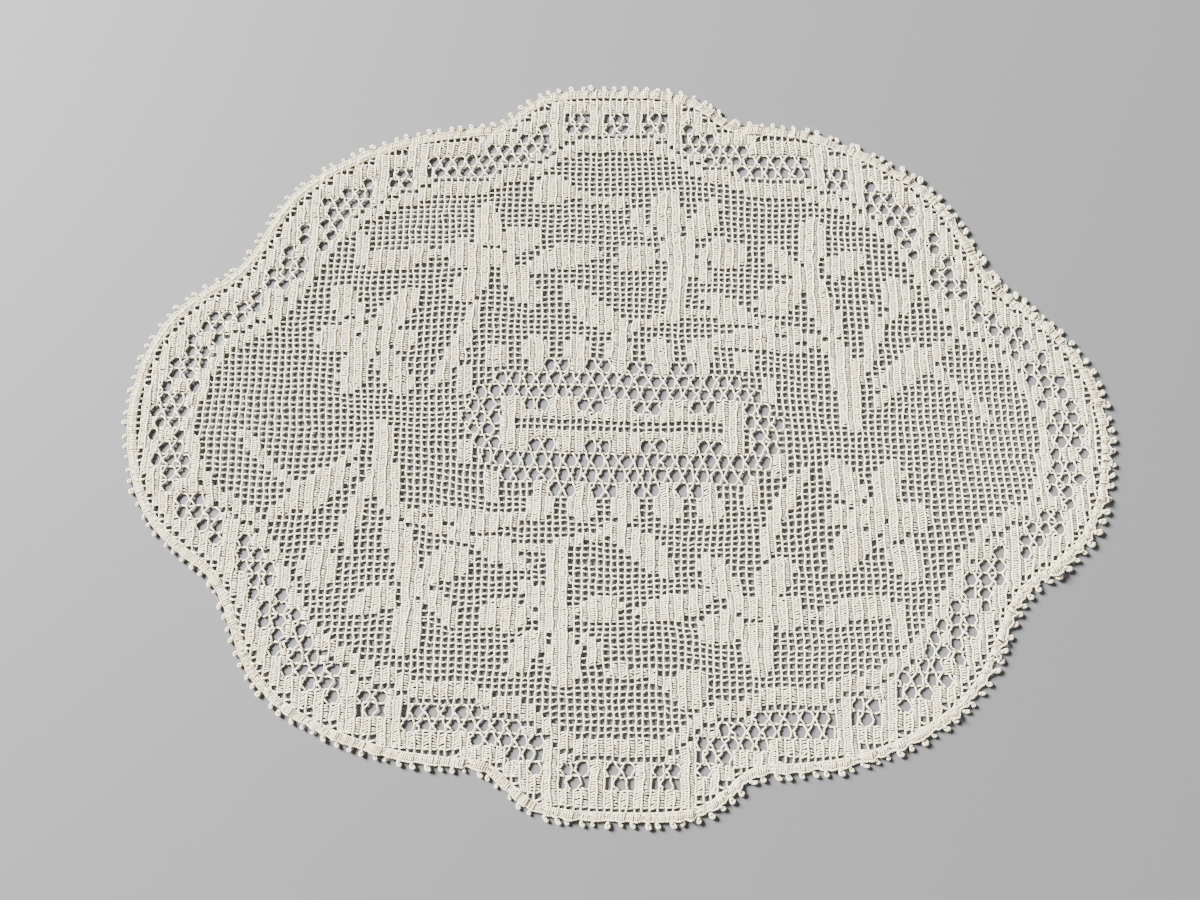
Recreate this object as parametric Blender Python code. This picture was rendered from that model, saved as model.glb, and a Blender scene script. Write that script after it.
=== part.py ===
"""Oval lace placemat in filet crochet, lying flat: cotton net with a picot edging round its scalloped rim.

Metres, +Z up. The origin is on the underside at the middle of the mat, +X runs along its length, and the
crochet was worked in rows that run along Y. Sizes below are in millimetres unless their name says metres.
"""

import bpy
import bmesh
import numpy as np

MM = 0.001
WELD_METRES = 0.000002

# One quarter of the rim, on the outer edge of the edging and without its picots, from the middle of
# the long side round to the middle of the end. The mat repeats it four times by mirroring.
RIM_QUARTER = (
    # along, across
    (0.0, 170.5),
    (20.0, 170.0),
    (36.0, 167.0),
    (48.0, 159.0),
    (58.0, 151.5),
    (75.0, 149.5),
    (95.0, 147.0),
    (115.0, 141.0),
    (130.0, 134.0),
    (143.0, 126.0),
    (154.0, 116.0),
    (162.0, 105.0),
    (168.0, 93.0),
    (174.0, 81.0),
    (182.0, 70.5),
    (196.0, 61.0),
    (208.0, 50.0),
    (217.0, 35.0),
    (222.0, 18.0),
    (224.0, 0.0),
)
CURVE_STEPS = 40
FINE_RIM_POINTS = 2400

# How far the finished mat lies out of true.
LEAN = 0.02
STRETCHES = (
    # where along, where across, moved along, moved across, reach
    (-115.0, 145.0, 1.8, -2.9, 60.0),
    (-150.0, -115.0, -2.5, -2.0, 45.0),
    (80.0, 150.0, 0.8, 2.3, 32.0),
    (206.0, 50.0, -2.6, -1.2, 22.0),
)

NET_THICKNESS = 1.2
EDGING_THICKNESS = 1.6
EDGING_WIDTH = 3.6
PARTING_GAP = 0.3

# The picots of the edging: a chain loop drawn up into a knob on a narrow neck.
PICOT_COUNT = 226
PICOT_HEIGHT = 2.9
PICOT_OUTLINE = (
    # beside its middle, out from the edging
    (-0.9, -0.4),
    (-1.6, 1.5),
    (0.0, PICOT_HEIGHT),
    (1.6, 1.5),
    (0.9, -0.4),
)

# The filet chart: cells one column wide and one row tall, counted from the middle of the mat.
COLUMN_PITCH = 3.2
ROW_PITCH = 2.88
HALF_COLUMNS = 69
HALF_ROWS = 58
CHART_MARGIN = 4
CHART_INSET = 3.0
END_COLUMN = 45
END_ARCH_COLUMN = 37

# How deep the border's rings lie inside the chart's edge.
OUTER_BAND_COLUMNS = 2
OUTER_BAND_ROWS = 3
ARCH_BAND_COLUMNS = 8
ARCH_BAND_ROWS = 7
SIDE_RIBS = (3, 9, 30, 36)
ARCH_CELLS_IN_BAND = 3
RIB_EVERY_ROWS = 8

# Rows of chain arches round the panel in the middle. An arch is two columns by two rows.
PANEL_ARCHES = (
    # lowest row, first column, number of arches
    (8, -11, 2),
    (8, -5, 2),
    (8, 1, 2),
    (8, 7, 2),
    (6, -18, 18),
    (4, -21, 21),
    (2, -22, 2),
    (2, -14, 2),
    (2, -6, 2),
    (2, 2, 2),
    (2, 10, 2),
    (2, 18, 2),
    (0, -23, 3),
    (0, 18, 3),
    (-2, -22, 2),
    (-2, 19, 2),
    (-4, -21, 2),
    (-4, -13, 2),
    (-4, -5, 2),
    (-4, 3, 2),
    (-4, 11, 2),
    (-4, 19, 2),
    (-6, -20, 21),
    (-8, -17, 18),
    (-10, -10, 2),
    (-10, -4, 2),
    (-10, 2, 2),
    (-10, 8, 2),
)
ARCH_OPENING = (
    # columns from the arch's left, rows from its foot
    (0.28, 1.0),
    (0.72, 1.73),
    (1.50, 1.73),
    (1.76, 1.0),
    (1.50, 0.27),
    (0.72, 0.27),
)
ARCH_PUSH_ABOVE = 0.9
ARCH_PUSH_BELOW = 1.7
ARCH_PUSH_COLUMNS = 24
ARCH_PUSH_SOFTNESS = 2.5
ARCH_PUSH_FROM = 3
ARCH_PUSH_FULL = 10
ARCH_PUSH_GONE = 36

# How the net was pinned out to its edging while it dried.
PIN_STRENGTH = 0.5
PULL_KEPT = 0.997
PULL_ROUNDS = 400

IVORY = (0.80, 0.755, 0.655, 1.0)
COTTON_ROUGHNESS = 0.9


def clear_scene():
    """Remove whatever the opened file holds."""
    for old in list(bpy.data.objects):
        bpy.data.objects.remove(old, do_unlink=True)


def smooth_loop(corners, count):
    """A closed Catmull-Rom curve through the corners, as `count` points evenly spaced along it."""
    before = np.roll(corners, 1, axis=0)[:, None]
    start = corners[:, None]
    end = np.roll(corners, -1, axis=0)[:, None]
    after = np.roll(corners, -2, axis=0)[:, None]
    t = np.linspace(0.0, 1.0, CURVE_STEPS, endpoint=False)[None, :, None]
    curve = 0.5 * (
        2 * start
        + (end - before) * t
        + (2 * before - 5 * start + 4 * end - after) * t**2
        + (3 * start - before - 3 * end + after) * t**3
    ).reshape(-1, 2)
    closed = np.vstack([curve, curve[:1]])
    length = np.concatenate([[0.0], np.cumsum(np.hypot(*np.diff(closed, axis=0).T))])
    at = np.linspace(0.0, length[-1], count, endpoint=False)
    return np.stack([np.interp(at, length, closed[:, k]) for k in (0, 1)], axis=1)


def rim_loop(count):
    """The whole rim: the quarter mirrored over both axes, running clockwise from the top middle."""
    quarter = np.array(RIM_QUARTER)
    right_half = np.vstack([quarter, quarter[-2::-1] * (1, -1)])
    whole = np.vstack([right_half, right_half[-2:0:-1] * (-1, 1)])
    return smooth_loop(whole, count)


def outward(loop):
    """Unit normals of a clockwise loop, pointing away from its middle."""
    along = np.roll(loop, -1, axis=0) - np.roll(loop, 1, axis=0)
    normal = np.stack([-along[:, 1], along[:, 0]], axis=1)
    return normal / np.hypot(*normal.T)[:, None]


def laid_out(points):
    """Points of the regular mat moved to where the finished one lies, a little out of true.

    It leans: y drops by LEAN times x. Each stretch then moves what is near it, by its full amount at
    its own place and by exp(-(distance / reach) squared) of that further off.
    """
    x, y = points[..., 0], points[..., 1]
    y = y - LEAN * x
    moved = np.stack([x, y], axis=-1)
    for at_x, at_y, dx, dy, reach in STRETCHES:
        near = np.exp(-((x - at_x) ** 2 + (y - at_y) ** 2) / reach**2)
        moved = moved + near[..., None] * (dx, dy)
    return moved


def edge_height(columns):
    """Distance of the chart's upper edge from the long axis at the given columns, in millimetres."""
    loop = rim_loop(FINE_RIM_POINTS)
    loop = loop - outward(loop) * CHART_INSET
    upper = loop[loop[:, 1] >= 0]
    upper = upper[np.argsort(upper[:, 0])]
    return np.interp(columns * COLUMN_PITCH, upper[:, 0], upper[:, 1], left=0.0, right=0.0)


def chart_cells():
    """True where a cell lies inside the rim, which steps by two rows on the long sides, by one at the ends."""
    columns = np.arange(-HALF_COLUMNS - CHART_MARGIN, HALF_COLUMNS + CHART_MARGIN)
    rows = np.arange(-HALF_ROWS - CHART_MARGIN, HALF_ROWS + CHART_MARGIN)
    height = edge_height(columns + 0.5) / ROW_PITCH
    step = np.where(np.abs(columns + 0.5) < END_COLUMN, 2, 1)
    top = np.round(height / step) * step
    top = np.where((columns >= -HALF_COLUMNS) & (columns < HALF_COLUMNS), top, 0)
    return (rows[:, None] >= -top) & (rows[:, None] < top)


def grown(mask, columns, rows):
    """The mask spread over an oval that reaches the given columns and rows each way."""
    spread = mask.copy()
    for up in range(-rows, rows + 1):
        reach = round(columns * (1 - (up / (rows + 0.5)) ** 2) ** 0.5)
        for aside in range(-reach, reach + 1):
            spread |= np.roll(mask, (up, aside), axis=(0, 1))
    return spread


def side_arches(band, used):
    """Arches of the two long sides, laid like bricks between the ribs."""
    found = []
    rows, columns = band.shape
    middle = columns // 2
    rib = np.zeros(columns, bool)
    for column in SIDE_RIBS:
        rib[middle + column - 1:middle + column + 1] = True
        rib[middle - column - 1:middle - column + 1] = True
    for low in range(1, rows - 2, 2):
        for i in range(middle - END_COLUMN, middle + END_COLUMN - 1):
            cells = (slice(low, low + 2), slice(i, i + 2))
            if (i - middle + low // 2) % 2 or rib[i] or rib[i + 1]:
                continue
            if band[cells].sum() >= ARCH_CELLS_IN_BAND and not used[cells].any():
                used[cells] = True
                found.append((low, i))
    return found


def end_arches(band, used):
    """Arches of the two ends: rows of three and two in turn, with a rib in the middle of every fourth."""
    found = []
    rows, columns = band.shape
    middle = columns // 2
    for low in range(0, rows - 1, 2):
        turn = (low - rows // 2) // 2
        for side in (1, -1):
            both = band[low] & band[low + 1]
            reach = both[::-1] if side > 0 else both
            if not reach.any():
                continue
            first = int(np.argmax(reach)) + turn % 2
            for place in range(3 - turn % 2):
                out = first + 2 * place
                if turn * 2 % RIB_EVERY_ROWS == 4 and place == 1:
                    continue
                i = columns - out - 2 if side > 0 else out
                if abs(i + 1 - middle) <= END_ARCH_COLUMN:
                    continue
                cells = (slice(low, low + 2), slice(i, i + 2))
                if band[cells].all() and not used[cells].any():
                    used[cells] = True
                    found.append((low, i))
    return found


def arch_places():
    """Lowest row and first column of every arch of the border and of the panel, as two lists.

    They are counted from the middle of the chart.
    """
    inside = chart_cells()
    outside = ~inside
    outer = grown(outside, OUTER_BAND_COLUMNS, OUTER_BAND_ROWS)
    band = grown(outside, ARCH_BAND_COLUMNS, ARCH_BAND_ROWS) & ~outer
    used = np.zeros_like(band)
    found = side_arches(band, used) + end_arches(band, used)
    rows, columns = band.shape
    border = [(low - rows // 2, i - columns // 2) for low, i in found]
    panel = [(low, first + 2 * k) for low, first, count in PANEL_ARCHES for k in range(count)]
    return border, panel


def pinned_net():
    """Where the chart's crossings lie once the net is pinned out, as an array of rows by columns by xy.

    Each crossing starts on an even grid. The rows beyond the panel are pushed out by its tall arches.
    Crossings on the edge are then drawn towards the rim, and all others follow the mean of their four
    neighbours, a little less each time, so the pull dies away towards the middle.
    """
    inside = chart_cells()
    rows = np.arange(inside.shape[0] + 1) - inside.shape[0] // 2
    columns = np.arange(inside.shape[1] + 1) - inside.shape[1] // 2
    column, row = np.meshgrid(columns, rows)
    x = column * COLUMN_PITCH
    y = row * ROW_PITCH

    rise = np.clip((np.abs(row) - ARCH_PUSH_FROM) / (ARCH_PUSH_FULL - ARCH_PUSH_FROM), 0, 1)
    fall = np.clip((ARCH_PUSH_GONE - np.abs(row)) / (ARCH_PUSH_GONE - ARCH_PUSH_FULL), 0, 1)
    near = 1 / (1 + np.exp((np.abs(column) - ARCH_PUSH_COLUMNS) / ARCH_PUSH_SOFTNESS))
    push = np.where(row > 0, ARCH_PUSH_ABOVE, -ARCH_PUSH_BELOW)
    y = y + push * ROW_PITCH * rise * fall * near

    corners = np.zeros((inside.shape[0] + 1, inside.shape[1] + 1), int)
    for down in (0, 1):
        for left in (0, 1):
            corners[down:down + inside.shape[0], left:left + inside.shape[1]] += inside
    edge = (corners > 0) & (corners < 4)

    loop = rim_loop(FINE_RIM_POINTS)
    loop = loop - outward(loop) * CHART_INSET
    points = np.stack([x[edge], y[edge]], axis=1)
    gap = ((points[:, None] - loop[None]) ** 2).sum(axis=2)
    pull = loop[gap.argmin(axis=1)] - points

    shift = np.zeros(x.shape + (2,))
    for _ in range(PULL_ROUNDS):
        beside = np.roll(shift, 1, axis=1) + np.roll(shift, -1, axis=1)
        above = np.roll(shift, 1, axis=0) + np.roll(shift, -1, axis=0)
        shift = PULL_KEPT * (beside + above) / 4
        shift[edge] += PIN_STRENGTH * (pull - shift[edge])
    return np.stack([x, y], axis=-1) + shift


def on_net(net, column, row):
    """Points of the pinned net at fractional columns and rows, between the four crossings round each."""
    i = column + net.shape[1] // 2
    j = row + net.shape[0] // 2
    left = np.floor(i).astype(int)
    low = np.floor(j).astype(int)
    u = (i - left)[..., None]
    v = (j - low)[..., None]
    lower = net[low, left] * (1 - u) + net[low, left + 1] * u
    upper = net[low + 1, left] * (1 - u) + net[low + 1, left + 1] * u
    return lower * (1 - v) + upper * v


def cotton():
    """Undyed crochet cotton, matt."""
    material = bpy.data.materials.new("ivory_cotton")
    material.use_nodes = True
    shader = material.node_tree.nodes["Principled BSDF"]
    shader.inputs["Base Color"].default_value = IVORY
    shader.inputs["Roughness"].default_value = COTTON_ROUGHNESS
    shader.inputs["Metallic"].default_value = 0.0
    material.diffuse_color = IVORY
    return material


def flat_piece(name, loops, thickness, material, collection):
    """A flat piece standing on z = 0: the outer loop filled, the inner ones left open, made thick."""
    middle = middle_of_mat()
    curve = bpy.data.curves.new(name, "CURVE")
    curve.dimensions = "2D"
    curve.fill_mode = "BOTH"
    curve.extrude = thickness / 2 * MM
    for loop in loops:
        spline = curve.splines.new("POLY")
        spline.points.add(len(loop) - 1)
        at = np.zeros((len(loop), 4))
        at[:, :2] = (loop - middle) * MM
        at[:, 3] = 1.0
        spline.points.foreach_set("co", at.ravel())
        spline.use_cyclic_u = True
    flat = bpy.data.objects.new(name + "_outline", curve)
    collection.objects.link(flat)
    bpy.context.view_layer.update()
    mesh = bpy.data.meshes.new_from_object(flat.evaluated_get(bpy.context.evaluated_depsgraph_get()))
    bpy.data.objects.remove(flat, do_unlink=True)

    solid = bmesh.new()
    solid.from_mesh(mesh)
    bmesh.ops.remove_doubles(solid, verts=solid.verts, dist=WELD_METRES)
    bmesh.ops.translate(solid, verts=solid.verts, vec=(0.0, 0.0, thickness / 2 * MM))
    bmesh.ops.recalc_face_normals(solid, faces=solid.faces)
    solid.to_mesh(mesh)
    solid.free()
    mesh.name = name
    mesh.materials.clear()
    mesh.materials.append(material)
    piece = bpy.data.objects.new(name, mesh)
    collection.objects.link(piece)
    return piece


def middle_of_mat():
    """Middle of the box round the finished rim and its picots, which is the part's origin."""
    rim = rim_loop(PICOT_COUNT)
    tips = laid_out(rim + outward(rim) * PICOT_HEIGHT)
    return (tips.min(axis=0) + tips.max(axis=0)) / 2


def filet_ground(material, collection):
    """The crocheted net with its blocks, one sheet.

    It is cut through at each chain arch of the panel and at every other one of the border, staggered.
    """
    rim = rim_loop(PICOT_COUNT)
    edge = rim - outward(rim) * (EDGING_WIDTH + PARTING_GAP)
    net = pinned_net()
    opening = np.array(ARCH_OPENING)
    border, panel = arch_places()
    cut = panel + [(low, first) for low, first in border if (low // 2 + first // 2) % 2 == 0]
    loops = [laid_out(edge)]
    for low, first in cut:
        loops.append(laid_out(on_net(net, first + opening[:, 0], low + opening[:, 1])))
    return flat_piece("filet_ground", loops, NET_THICKNESS, material, collection)


def picot_edging(material, collection):
    """The double crochet round worked on to the net's edge, with a picot at every sixth stitch."""
    rim = rim_loop(PICOT_COUNT)
    out = outward(rim)
    along = np.stack([out[:, 1], -out[:, 0]], axis=1)
    shape = np.array(PICOT_OUTLINE)
    knobs = (
        rim[:, None]
        + along[:, None] * shape[None, :, :1]
        + out[:, None] * shape[None, :, 1:]
    ).reshape(-1, 2)
    inner = rim - out * EDGING_WIDTH
    loops = [laid_out(knobs), laid_out(inner)]
    return flat_piece("picot_edging", loops, EDGING_THICKNESS, material, collection)


def build():
    clear_scene()
    collection = bpy.data.collections.new("lace_placemat")
    bpy.context.scene.collection.children.link(collection)
    material = cotton()
    filet_ground(material, collection)
    picot_edging(material, collection)


build()
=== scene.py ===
"""Looks of the oval lace placemat: every rib, stitch, arch and picot of its filet crochet, laid flat.

The net is worked out in millimetres, from the middle of its chart, and turned to metres as it is made.
"""

import bpy
import numpy as np
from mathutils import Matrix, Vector


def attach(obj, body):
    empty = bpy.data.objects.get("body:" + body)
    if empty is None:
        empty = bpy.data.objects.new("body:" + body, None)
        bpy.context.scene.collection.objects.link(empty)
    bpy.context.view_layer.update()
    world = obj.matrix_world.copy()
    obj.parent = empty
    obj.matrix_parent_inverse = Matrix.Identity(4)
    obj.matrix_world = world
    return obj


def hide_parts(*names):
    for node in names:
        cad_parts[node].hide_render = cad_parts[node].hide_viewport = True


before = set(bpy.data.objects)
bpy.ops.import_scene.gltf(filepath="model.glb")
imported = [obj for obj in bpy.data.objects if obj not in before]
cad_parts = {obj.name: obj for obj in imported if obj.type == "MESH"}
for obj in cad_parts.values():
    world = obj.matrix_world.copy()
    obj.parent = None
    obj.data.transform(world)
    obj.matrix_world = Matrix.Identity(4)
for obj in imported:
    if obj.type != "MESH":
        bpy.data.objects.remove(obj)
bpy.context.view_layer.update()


# The rim. The real mat ends in an oval of eight shallow scallops, which a maker shapes by adding and
# leaving off cells at the ends of the rows. The finished one was pinned out by hand and lies a little
# out of true.
RIM_QUARTER = (
    # along, across
    (0.0, 170.5),
    (20.0, 170.0),
    (36.0, 167.0),
    (48.0, 159.0),
    (58.0, 151.5),
    (75.0, 149.5),
    (95.0, 147.0),
    (115.0, 141.0),
    (130.0, 134.0),
    (143.0, 126.0),
    (154.0, 116.0),
    (162.0, 105.0),
    (168.0, 93.0),
    (174.0, 81.0),
    (182.0, 70.5),
    (196.0, 61.0),
    (208.0, 50.0),
    (217.0, 35.0),
    (222.0, 18.0),
    (224.0, 0.0),
)
CURVE_STEPS = 40
FINE_RIM_POINTS = 2400
LEAN = 0.02
STRETCHES = (
    # where along, where across, moved along, moved across, reach
    (-115.0, 145.0, 1.8, -2.9, 60.0),
    (-150.0, -115.0, -2.5, -2.0, 45.0),
    (80.0, 150.0, 0.8, 2.3, 32.0),
    (206.0, 50.0, -2.6, -1.2, 22.0),
)
PICOT_COUNT = 226
PICOT_HEIGHT = 2.9


def smooth_loop(corners, count):
    """A closed Catmull-Rom curve through the corners, as `count` points evenly spaced along it."""
    before = np.roll(corners, 1, axis=0)[:, None]
    start = corners[:, None]
    end = np.roll(corners, -1, axis=0)[:, None]
    after = np.roll(corners, -2, axis=0)[:, None]
    t = np.linspace(0.0, 1.0, CURVE_STEPS, endpoint=False)[None, :, None]
    curve = 0.5 * (
        2 * start
        + (end - before) * t
        + (2 * before - 5 * start + 4 * end - after) * t**2
        + (3 * start - before - 3 * end + after) * t**3
    ).reshape(-1, 2)
    closed = np.vstack([curve, curve[:1]])
    length = np.concatenate([[0.0], np.cumsum(np.hypot(*np.diff(closed, axis=0).T))])
    at = np.linspace(0.0, length[-1], count, endpoint=False)
    return np.stack([np.interp(at, length, closed[:, k]) for k in (0, 1)], axis=1)


def rim_loop(count):
    """The whole rim: the quarter mirrored over both axes, running clockwise from the top middle."""
    quarter = np.array(RIM_QUARTER)
    right_half = np.vstack([quarter, quarter[-2::-1] * (1, -1)])
    whole = np.vstack([right_half, right_half[-2:0:-1] * (-1, 1)])
    return smooth_loop(whole, count)


def outward(loop):
    """Unit normals of a clockwise loop: its direction at each point, turned a quarter to the left."""
    along = np.roll(loop, -1, axis=0) - np.roll(loop, 1, axis=0)
    normal = np.stack([-along[:, 1], along[:, 0]], axis=1)
    return normal / np.hypot(*normal.T)[:, None]


def laid_out(points):
    """Points of the regular mat moved to where the finished one lies.

    It leans: y drops by LEAN times x. Each stretch then moves what is near it, by its full amount at
    its own place and by exp(-(distance / reach) squared) of that further off.
    """
    x, y = points[..., 0], points[..., 1]
    y = y - LEAN * x
    moved = np.stack([x, y], axis=-1)
    for at_x, at_y, dx, dy, reach in STRETCHES:
        near = np.exp(-((x - at_x) ** 2 + (y - at_y) ** 2) / reach**2)
        moved = moved + near[..., None] * (dx, dy)
    return moved


def middle_of_mat():
    """Middle of the box round the finished rim and its picots, which is the part's origin."""
    rim = rim_loop(PICOT_COUNT)
    tips = laid_out(rim + outward(rim) * PICOT_HEIGHT)
    return (tips.min(axis=0) + tips.max(axis=0)) / 2


# The chart. A filet maker works from squares: an open square is a hole between two posts, a filled one
# is a block of stitches, and an arch takes two columns by two rows. Rows of crochet run up the chart.
COLUMN_PITCH = 3.2
ROW_PITCH = 2.88
HALF_COLUMNS = 69
HALF_ROWS = 58
CHART_MARGIN = 4
CHART_INSET = 3.0
END_COLUMN = 45
END_ARCH_COLUMN = 37
SIDE_RIBS = (3, 9, 30, 36)
ARCH_CELLS_IN_BAND = 3
END_ARCHES_IN_ROW = 3
RIB_EVERY_ROWS = 8

OUTSIDE, OPEN, BLOCK, ARCH, NARROW = range(5)
BORDER_RINGS = (
    # columns deep, rows deep, what the ring is filled with
    (1, 1, OPEN),
    (2, 3, BLOCK),
    (8, 7, BLOCK),
    (8, 8, OPEN),
    (9, 10, BLOCK),
)
PANEL_ARCHES = (
    # lowest row, first column, number of arches
    (8, -11, 2),
    (8, -5, 2),
    (8, 1, 2),
    (8, 7, 2),
    (6, -18, 18),
    (4, -21, 21),
    (2, -22, 2),
    (2, -14, 2),
    (2, -6, 2),
    (2, 2, 2),
    (2, 10, 2),
    (2, 18, 2),
    (0, -23, 3),
    (0, 18, 3),
    (-2, -22, 2),
    (-2, 19, 2),
    (-4, -21, 2),
    (-4, -13, 2),
    (-4, -5, 2),
    (-4, 3, 2),
    (-4, 11, 2),
    (-4, 19, 2),
    (-6, -20, 21),
    (-8, -17, 18),
    (-10, -10, 2),
    (-10, -4, 2),
    (-10, 2, 2),
    (-10, 8, 2),
)
PANEL_BLOCKS = (
    # lowest row, first column, rows, columns
    (-4, -17, 8, 35),
    (9, -19, 3, 3),
    (9, 17, 3, 3),
    (5, -23, 4, 2),
    (4, 21, 4, 2),
    (-11, -19, 4, 2),
    (-11, 18, 4, 2),
    (-6, -23, 3, 2),
    (-7, 22, 3, 2),
)
PANEL_OPEN_SLOT = (-1, -15, 2, 30)
SCALLOPS = 5
SCALLOP_EVERY = 6
SCALLOP_ROW = 10
SCALLOP_TIERS = (
    # rows beyond the outermost arches, columns each side of the middle
    (-2, 1),
    (-1, 1),
    (0, 2),
    (1, 2),
    (2, 2),
    (3, 1),
)

# Flowers and leaves, drawn for this mat in chart squares. They fill the upper half of the ground, and
# the lower half repeats them turned half round.
PETALS = (
    # root column, root row, direction in degrees, length, width
    (-19.0, 29.4, 92.0, 8.6, 4.4),
    (-17.8, 29.2, 24.0, 7.6, 4.4),
    (-16.8, 27.6, -60.0, 9.5, 4.2),
    (-19.6, 26.2, -124.0, 7.6, 4.4),
    (-20.4, 28.0, 176.0, 5.0, 5.2),
    (7.4, 31.4, 92.0, 9.0, 4.8),
    (5.4, 31.6, 118.0, 6.6, 2.8),
    (10.4, 31.6, 56.0, 8.6, 3.6),
    (11.2, 29.8, -6.0, 8.4, 4.4),
    (10.0, 28.4, -50.0, 5.4, 3.0),
    (8.5, 29.4, -91.0, 12.0, 3.8),
    (5.6, 29.0, 194.0, 6.4, 4.0),
    (28.8, 27.4, 88.0, 8.4, 4.4),
    (27.0, 26.2, 140.0, 6.4, 3.8),
    (30.8, 26.2, 30.0, 7.0, 4.0),
    (27.2, 23.8, 214.0, 7.8, 4.6),
    (29.4, 24.0, -76.0, 9.0, 4.0),
    (-37.2, 15.4, 118.0, 8.6, 4.2),
    (-35.0, 15.0, 52.0, 8.6, 4.4),
    (-37.4, 13.8, 180.0, 6.4, 4.4),
    (-36.8, 12.4, -110.0, 7.5, 4.4),
    (-34.4, 12.4, -58.0, 8.5, 4.2),
    (-33.8, 13.8, 2.0, 5.0, 3.0),
    (41.3, 20.0, 90.0, 5.8, 5.0),
    (-12.4, 40.4, 0.0, 5.4, 5.2),
)
HEARTS = (
    # column, row, radius of the filled disc at a flower's middle
    (-19.4, 27.8, 2.4),
    (8.6, 30.2, 2.8),
    (28.8, 25.2, 2.6),
    (-35.8, 13.8, 2.4),
)
EYES = (
    # first column, lowest row, columns, rows of open squares
    (-20, 29, 3, 1),
    (-18, 19, 1, 7),
    (-17, 28, 1, 1),
    (-15, 26, 1, 2),
    (9, 32, 1, 2),
    (6, 31, 1, 1),
    (4, 34, 1, 4),
    (5, 32, 1, 2),
    (11, 30, 2, 1),
    (24, 30, 1, 1),
    (25, 29, 1, 1),
    (26, 28, 1, 1),
    (27, 27, 1, 1),
    (30, 25, 1, 3),
    (-42, 18, 1, 1),
    (-40, 17, 2, 1),
    (-38, 14, 1, 1),
    (-35, 15, 1, 1),
    (-35, 11, 1, 1),
)
LEAVES = (
    # from column, row, to column, row, width, bend to the left
    (-38.6, 27.8, -27.0, 29.0, 3.6, -0.9),
    (-13.4, 25.8, -2.2, 29.0, 3.8, 0.5),
    (-8.0, 23.2, 1.8, 14.6, 4.2, -0.8),
    (-20.6, 19.6, -26.8, 6.0, 2.8, 1.0),
    (32.3, 15.4, 33.6, -0.8, 4.0, 0.5),
    (37.6, 21.0, 34.8, 7.5, 2.2, 0.8),
    (50.6, 16.4, 37.0, 4.2, 2.6, -0.8),
    (44.2, 15.6, 36.8, 7.4, 2.0, 0.6),
    (12.4, 21.8, 19.8, 17.4, 2.8, 0.4),
    (12.4, 13.6, 28.0, 13.2, 2.8, 1.0),
)
STEMS = (
    # from column, row, to column, row, width, bend to the left
    (9.0, 18.6, 29.0, 15.0, 1.5, 0.9),
    (8.2, 18.4, 1.4, 15.8, 1.2, 0.5),
    (-7.5, 40.6, 1.0, 38.0, 1.3, -0.6),
    (-38.8, 33.0, -38.4, 28.0, 1.5, 0.6),
    (-27.4, 28.8, -23.5, 29.2, 1.1, 0.0),
    (38.0, 15.6, 41.2, 21.0, 1.4, 0.5),
    (45.4, 10.8, 53.0, 2.6, 1.5, 0.5),
    (29.0, 15.0, 32.4, 13.0, 1.6, 0.2),
)


def edge_height(columns):
    """Distance of the chart's upper edge from the long axis at the given columns, in millimetres."""
    loop = rim_loop(FINE_RIM_POINTS)
    loop = loop - outward(loop) * CHART_INSET
    upper = loop[loop[:, 1] >= 0]
    upper = upper[np.argsort(upper[:, 0])]
    return np.interp(columns * COLUMN_PITCH, upper[:, 0], upper[:, 1], left=0.0, right=0.0)


def chart_cells():
    """True for cells inside the rim, which steps by two rows on the long sides, by one at the ends."""
    columns = np.arange(-HALF_COLUMNS - CHART_MARGIN, HALF_COLUMNS + CHART_MARGIN)
    rows = np.arange(-HALF_ROWS - CHART_MARGIN, HALF_ROWS + CHART_MARGIN)
    height = edge_height(columns + 0.5) / ROW_PITCH
    step = np.where(np.abs(columns + 0.5) < END_COLUMN, 2, 1)
    top = np.round(height / step) * step
    top = np.where((columns >= -HALF_COLUMNS) & (columns < HALF_COLUMNS), top, 0)
    return (rows[:, None] >= -top) & (rows[:, None] < top)


def grown(mask, columns, rows):
    """The mask spread over an oval that reaches the given columns and rows each way."""
    spread = mask.copy()
    for up in range(-rows, rows + 1):
        reach = round(columns * (1 - (up / (rows + 0.5)) ** 2) ** 0.5)
        for aside in range(-reach, reach + 1):
            spread |= np.roll(mask, (up, aside), axis=(0, 1))
    return spread


def side_arches(band, used):
    """Arches of the two long sides, laid like bricks, and the narrow holes at the ribs between them."""
    found, narrow = [], []
    rows, columns = band.shape
    middle = columns // 2
    rib = np.zeros(columns, bool)
    for column in SIDE_RIBS:
        rib[middle + column - 1:middle + column + 1] = True
        rib[middle - column - 1:middle - column + 1] = True
    for low in range(1, rows - 2, 2):
        for i in range(middle - END_COLUMN, middle + END_COLUMN - 1):
            cells = (slice(low, low + 2), slice(i, i + 2))
            if (i - middle + low // 2) % 2 or rib[i] or rib[i + 1]:
                continue
            if band[cells].sum() >= ARCH_CELLS_IN_BAND and not used[cells].any():
                used[cells] = True
                found.append((low, i))
        for i in np.flatnonzero((np.roll(rib, 1) | np.roll(rib, -1)) & ~rib):
            cells = (slice(low, low + 2), slice(i, i + 1))
            if band[cells].all() and not used[cells].any():
                used[cells] = True
                narrow.append((low, i))
    return found, narrow


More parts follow.
